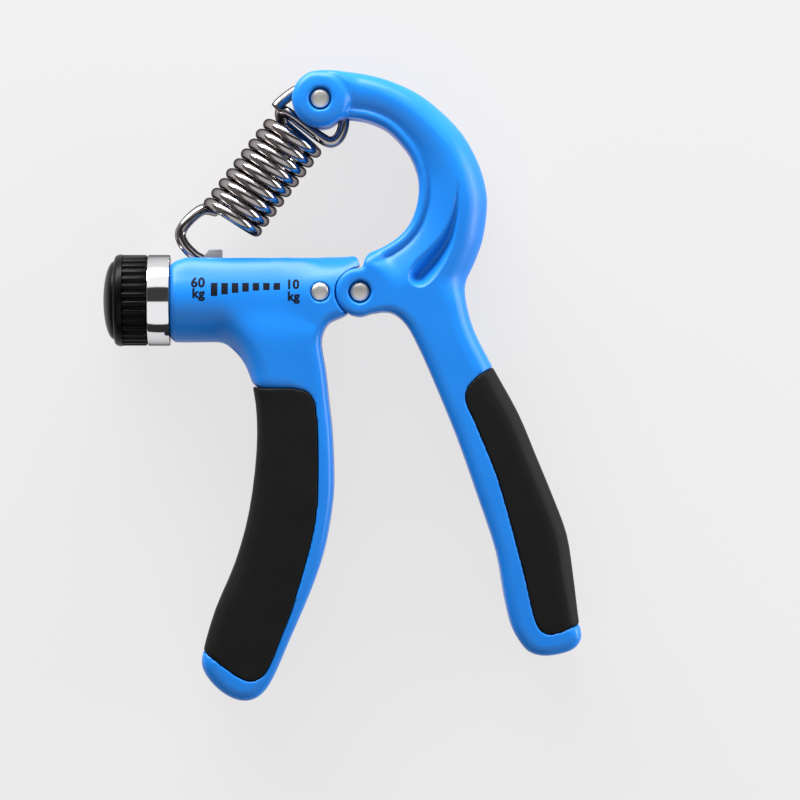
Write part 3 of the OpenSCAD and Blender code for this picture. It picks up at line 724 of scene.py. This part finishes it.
def ribbed_ring(mesh, x, radius, depth):
    """One ring of the knob's ribbed outline, at x along the axis, with its edges."""
    ring = bmesh.ops.create_circle(mesh, cap_ends=False, radius=1, segments=RIBS * len(RIB_OUTLINE))["verts"]
    for k, vertex in enumerate(ring):
        rib, part = divmod(k, len(RIB_OUTLINE))
        share, drop = RIB_OUTLINE[part]
        a = 2 * math.pi * (rib + share) / RIBS
        r = radius - RIB_INSET - depth * drop
        vertex.co = (x, BARREL_Y + r * math.cos(a), MID_Z + r * math.sin(a))
    return [e for e in mesh.edges if e.verts[0] in ring and e.verts[1] in ring]


ribs = bmesh.new()
# Place along the axis, radius and depth of the grooves, from the rim to the back
RING_SIZES = (
    (knob_low.x + RIM - 0.05 * MM, KNOB_R - 0.25 * MM, 0),
    (knob_low.x + RIM, KNOB_R - 0.2 * MM, RIB_DEPTH * 0.8),
    (knob_low.x + RIM + 0.15 * MM, KNOB_R, RIB_DEPTH),
    (knob_high.x - BACK, KNOB_R, RIB_DEPTH),
    (knob_high.x, KNOB_R - BACK, RIB_DEPTH * 0.7))
rings = [ribbed_ring(ribs, x, radius, depth) for x, radius, depth in RING_SIZES]
for near, far in zip(rings, rings[1:]):
    bmesh.ops.bridge_loops(ribs, edges=near + far)
bmesh.ops.contextual_create(ribs, geom=rings[0])
bmesh.ops.contextual_create(ribs, geom=rings[-1])
bmesh.ops.recalc_face_normals(ribs, faces=ribs.faces)
ribs_data = bpy.data.meshes.new("knob_ribs")
ribs.to_mesh(ribs_data)
ribs.free()
knob_ribs = bpy.data.objects.new("knob_ribs", ribs_data)
scene.collection.objects.link(knob_ribs)
smooth_by_angle(ribs_data, 50)

CAP_R = 8.45 * MM
CAP_SEAT = 0.4 * MM         # how deep the cap sits in the rim
CAP_STEP = 6                # degrees between the rings of its dome
left = knob_low.x
knob_rim = lathe("knob_rim", [
    (left + CAP_SEAT, 0), (left + CAP_SEAT, 8.3 * MM), (left, 8.6 * MM), (left, 8.9 * MM),
    (left + 0.2 * MM, 9.45 * MM), (left + 0.6 * MM, 9.75 * MM), (left + 1.1 * MM, KNOB_R), (left + RIM, KNOB_R),
    (left + RIM + 0.05 * MM, KNOB_R - RIB_INSET), (left + RIM + 0.05 * MM, 0)], AXIS, (1, 0, 0), ROUND_STEPS)
smooth_by_angle(knob_rim.data, 40)

cap_low, cap_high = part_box("knob_cap")
dome_profile = [(cap_low.x + (cap_high.x - cap_low.x) * (1 - math.cos(math.radians(angle))),
                 CAP_R * math.sin(math.radians(angle))) for angle in range(0, 91, CAP_STEP)]
dome_profile += [(left + CAP_SEAT, CAP_R), (left + CAP_SEAT, 0)]
domed_cap = lathe("domed_cap", dome_profile, AXIS, (1, 0, 0), ROUND_STEPS)
smooth_by_angle(domed_cap.data, 40)

# Moulded ABS from a spark-eroded mould: near black, with a soft wide shine. Its real grain of
# about 0.1 mm is drawn at 0.4 mm, so that it shows.
moulding, tree, shader, where = finish_material("black_moulded_abs", {
    "Roughness": 0.34, "IOR": 1.5, "Specular IOR Level": 0.1})
cloud = add(tree, "ShaderNodeTexNoise", inputs={"Scale": 0.15 / MM, "Detail": 2.0}, Vector=where)
shades = add(tree, "ShaderNodeValToRGB", Fac=cloud.outputs["Fac"])
ramp_stops(shades, [(0.3, srgb("030303")), (0.7, srgb("070708"))])
tree.links.new(shades.outputs["Color"], shader.inputs["Base Color"])
grain = add(tree, "ShaderNodeTexNoise", inputs={"Scale": 2.5 / MM, "Detail": 1.0}, Vector=where)
relief = add(tree, "ShaderNodeBump", inputs={"Strength": 0.15, "Distance": 0.02 * MM},
             Height=grain.outputs["Fac"])
tree.links.new(relief.outputs["Normal"], shader.inputs["Normal"])
fit(knob_ribs, moulding, "screw", "black_plastic", "knob")
fit(knob_rim, moulding, "screw", "black_plastic", "knob")
fit(domed_cap, moulding, "screw", "black_plastic", "knob_cap")


# ---- Inner pieces -------------------------------------------------------------------------
# The lead screw, its clip and washers, the nut with its hook pin and the hinge plate are
# turned or milled metal. They show only in the slot and at the joints.

# Turned brass: yellow and satin, its sheen varying in patches of 1.25 mm.
brass, tree, shader, where = finish_material("turned_brass", {"Base Color": srgb("C9A45C"), "Metallic": 1.0})
haze = add(tree, "ShaderNodeTexNoise", inputs={"Scale": 0.8 / MM, "Detail": 2.0}, Vector=where)
satin = add(tree, "ShaderNodeMapRange", inputs={"To Min": 0.28, "To Max": 0.42}, Value=haze.outputs["Fac"])
tree.links.new(satin.outputs[0], shader.inputs["Roughness"])

# Zinc-plated steel: bright and faintly blue, with a soft sheen in patches of 1.7 mm.
plated, tree, shader, where = finish_material("zinc_plated_steel", {
    "Base Color": srgb("F4F5FC"), "Metallic": 1.0})
haze = add(tree, "ShaderNodeTexNoise", inputs={"Scale": 0.6 / MM, "Detail": 3.0}, Vector=where)
satin = add(tree, "ShaderNodeMapRange", inputs={"To Min": 0.3, "To Max": 0.38}, Value=haze.outputs["Fac"])
tree.links.new(satin.outputs[0], shader.inputs["Roughness"])

INNER = {"thrust_washer": brass, "end_bush": brass, "hinge_plate": steel, "pivot_washers": steel,
         "knob_screw": steel, "retaining_clip": steel, "hook_pin": plated}
for node, material in INNER.items():
    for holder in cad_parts[node].material_slots:
        holder.material = material

LUG_SLOPE = 1.7 * MM        # how far the lug's left side leans in
BROKEN_EDGE = 0.3 * MM
NEAR = 0.01 * MM            # what counts as the same place
milled_nut = merged_copy("adjuster_nut", "milled_nut")
nut_top = max(v.co.y for v in milled_nut.data.vertices)
lug_top = [v for v in milled_nut.data.vertices if v.co.y > nut_top - NEAR]
lug_left = min(v.co.x for v in lug_top)
for v in lug_top:
    if v.co.x < lug_left + NEAR:
        v.co.x += LUG_SLOPE
broken = milled_nut.modifiers.new("broken_edges", "BEVEL")
broken.width = BROKEN_EDGE
broken.segments = 2
broken.limit_method = "ANGLE"
broken.angle_limit = math.radians(40)
applied(milled_nut)
smooth_by_angle(milled_nut.data, 30)
fit(milled_nut, plated, "nut", "steel", "adjuster_nut")

THREAD_PITCH = 1 * MM
THREAD_DEPTH = 0.55 * MM
THREAD_R = 3 * MM
THREAD_STEPS = 24
THREAD_FORM = ((0, 1), (0.2, 1), (0.45, 0.1), (0.55, 0.1), (0.8, 1), (1, 1))    # shares of pitch and of depth
THREAD_FROM = -40.2 * MM
THREAD_MERGE = 0.005 * MM
ON_PLANE = 0.0001 * MM      # corners this close to a cutting plane lie on it
screw_low, screw_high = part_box("lead_screw")
thread_turns = int((screw_high.x - THREAD_FROM) / THREAD_PITCH) + 2
thread = bmesh.new()
ridge = [thread.verts.new((THREAD_FROM - THREAD_PITCH + at * THREAD_PITCH,
                           BARREL_Y + THREAD_R - depth * THREAD_DEPTH, MID_Z)) for at, depth in THREAD_FORM]
ridge_edges = [thread.edges.new(pair) for pair in zip(ridge, ridge[1:])]
bmesh.ops.spin(thread, geom=ridge + ridge_edges, cent=AXIS, axis=(1, 0, 0),
               dvec=(THREAD_PITCH / THREAD_STEPS, 0, 0), angle=2 * math.pi * thread_turns,
               steps=THREAD_STEPS * thread_turns, use_merge=False, use_normal_flip=False, use_duplicate=False)
bmesh.ops.remove_doubles(thread, verts=thread.verts, dist=THREAD_MERGE)
for x, side in ((THREAD_FROM, -1), (screw_high.x, 1)):
    bmesh.ops.bisect_plane(thread, geom=thread.verts[:] + thread.edges[:] + thread.faces[:], dist=ON_PLANE,
                           plane_co=(x, 0, 0), plane_no=(side, 0, 0), use_snap_center=False,
                           clear_outer=True, clear_inner=False)
bmesh.ops.holes_fill(thread, edges=[e for e in thread.edges if len(e.link_faces) == 1], sides=0)
bmesh.ops.recalc_face_normals(thread, faces=thread.faces)
thread_data = bpy.data.meshes.new("screw_thread")
thread.to_mesh(thread_data)
thread.free()
screw_thread = bpy.data.objects.new("screw_thread", thread_data)
scene.collection.objects.link(screw_thread)
smooth_by_angle(thread_data, 40)

GROOVE = (-42.1 * MM, -41.2 * MM)       # the clip's groove
GROOVE_R = 2.5 * MM
TAPPED_R, TAPPED_DEPTH = 1.5 * MM, 6 * MM
SHANK_EDGE = 0.1 * MM
screw_shank = lathe("screw_shank", [
    (screw_low.x, TAPPED_R), (screw_low.x, THREAD_R - SHANK_EDGE), (screw_low.x + SHANK_EDGE, THREAD_R),
    (GROOVE[0], THREAD_R), (GROOVE[0], GROOVE_R), (GROOVE[1], GROOVE_R), (GROOVE[1], THREAD_R),
    (THREAD_FROM, THREAD_R), (THREAD_FROM, 0), (screw_low.x + TAPPED_DEPTH, 0),
    (screw_low.x + TAPPED_DEPTH, TAPPED_R), (screw_low.x, TAPPED_R)], AXIS, (1, 0, 0), 64)
smooth_by_angle(screw_shank.data)
fit(screw_thread, plated, "screw", "steel", "lead_screw")
fit(screw_shank, plated, "screw", "steel", "lead_screw")


# ---- Printed scale ------------------------------------------------------------------------
# A pad-printed scale in black ink on the upper side face: the load at both ends of the
# knob's range, and seven bars that shrink towards the weak end.

# Printing ink: a matt blue-black film, whose tone varies in patches of 0.7 mm.
ink, tree, shader, where = finish_material("black_printing_ink", {
    "Roughness": 0.6, "IOR": 1.5, "Specular IOR Level": 0.12})
specks = add(tree, "ShaderNodeTexNoise", inputs={"Scale": 1.5 / MM, "Detail": 2.0}, Vector=where)
shades = add(tree, "ShaderNodeValToRGB", Fac=specks.outputs["Fac"])
ramp_stops(shades, [(0.3, srgb("060A14")), (0.7, srgb("0A101C"))])
tree.links.new(shades.outputs["Color"], shader.inputs["Base Color"])

INK_FILM = 0.03 * MM        # how high the ink stands, which is also how deep it reaches into the paint
PRINT_STRIP = 0.35 * MM     # width of the strips that follow the barrel's roundness
ABOVE_ALL = 50 * MM


def laid_on(mesh, target):
    """Cuts a flat mesh in strips and lays each point on the target's upper side."""
    xs = [v.co.x for v in mesh.verts]
    ys = [v.co.y for v in mesh.verts]
    for low, high, normal in ((min(xs), max(xs), Vector((1, 0, 0))), (min(ys), max(ys), Vector((0, 1, 0)))):
        place = low + PRINT_STRIP
        while place < high:
            bmesh.ops.bisect_plane(mesh, geom=mesh.verts[:] + mesh.edges[:] + mesh.faces[:], dist=ON_PLANE,
                                   plane_co=normal * place, plane_no=normal, use_snap_center=False,
                                   clear_outer=False, clear_inner=False)
            place += PRINT_STRIP
    for v in mesh.verts:
        hit = target.ray_cast(Vector((v.co.x, v.co.y, ABOVE_ALL)), Vector((0, 0, -1)))[0]
        v.co.z = hit.z + INK_FILM


casting_surface = BVHTree.FromObject(front_casting, bpy.context.evaluated_depsgraph_get())


def printed(name, mesh):
    """Makes a flat mesh a closed film of ink on the casting."""
    laid_on(mesh, casting_surface)
    data = bpy.data.meshes.new(name)
    bmesh.ops.recalc_face_normals(mesh, faces=mesh.faces)
    for face in mesh.faces:
        if face.normal.z < 0:
            face.normal_flip()
    bmesh.ops.solidify(mesh, geom=mesh.verts[:] + mesh.edges[:] + mesh.faces[:], thickness=2 * INK_FILM)
    mesh.to_mesh(data)
    mesh.free()
    piece = bpy.data.objects.new(name, data)
    scene.collection.objects.link(piece)
    data.materials.append(ink)
    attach(piece, "front")
    return piece


BAR_PITCH = 2.237
BAR_W = 1.39
BAR_HEIGHTS = (2.79, 2.44, 2.1, 1.86, 1.63, 1.54, 1.48)
FIRST_BAR_X, BAR_TOP = -31.2, 1.9
bars = bmesh.new()
for k, height in enumerate(BAR_HEIGHTS):
    left, right = (FIRST_BAR_X + BAR_PITCH * k + side * BAR_W / 2 for side in (-1, 1))
    outline = ((left, BAR_TOP - height), (right, BAR_TOP - height), (right, BAR_TOP), (left, BAR_TOP))
    bars.faces.new([bars.verts.new((x * MM, y * MM, 0)) for x, y in outline])
printed("scale_bars", bars)

# Words, place and size
LETTERING = (("60", -34.7, 1.05, 2.55), ("kg", -34.6, -1.25, 2.5),
             ("10", -14.4, 0.7, 2.4), ("kg", -14.2, -1.85, 2.4))
LETTER_SCALE = 1.12
LETTER_BOLDNESS = 0.105 * MM
LETTER_SPACE = 1.08
for k, (words, x, y, size) in enumerate(LETTERING):
    text = bpy.data.curves.new(f"lettering_{k}", "FONT")
    text.body = words
    text.align_x = "CENTER"
    text.size = size * MM * LETTER_SCALE
    text.offset = LETTER_BOLDNESS
    text.space_character = LETTER_SPACE
    holder = bpy.data.objects.new(f"lettering_{k}", text)
    scene.collection.objects.link(holder)
    bpy.context.view_layer.update()
    flat = bpy.data.meshes.new_from_object(holder.evaluated_get(bpy.context.evaluated_depsgraph_get()))
    bpy.data.objects.remove(holder)
    letters = bmesh.new()
    letters.from_mesh(flat)
    bmesh.ops.remove_doubles(letters, verts=letters.verts, dist=FINE_MERGE)
    bmesh.ops.translate(letters, verts=letters.verts, vec=(x * MM, y * MM, 0))
    printed(f"scale_lettering_{k}", letters)
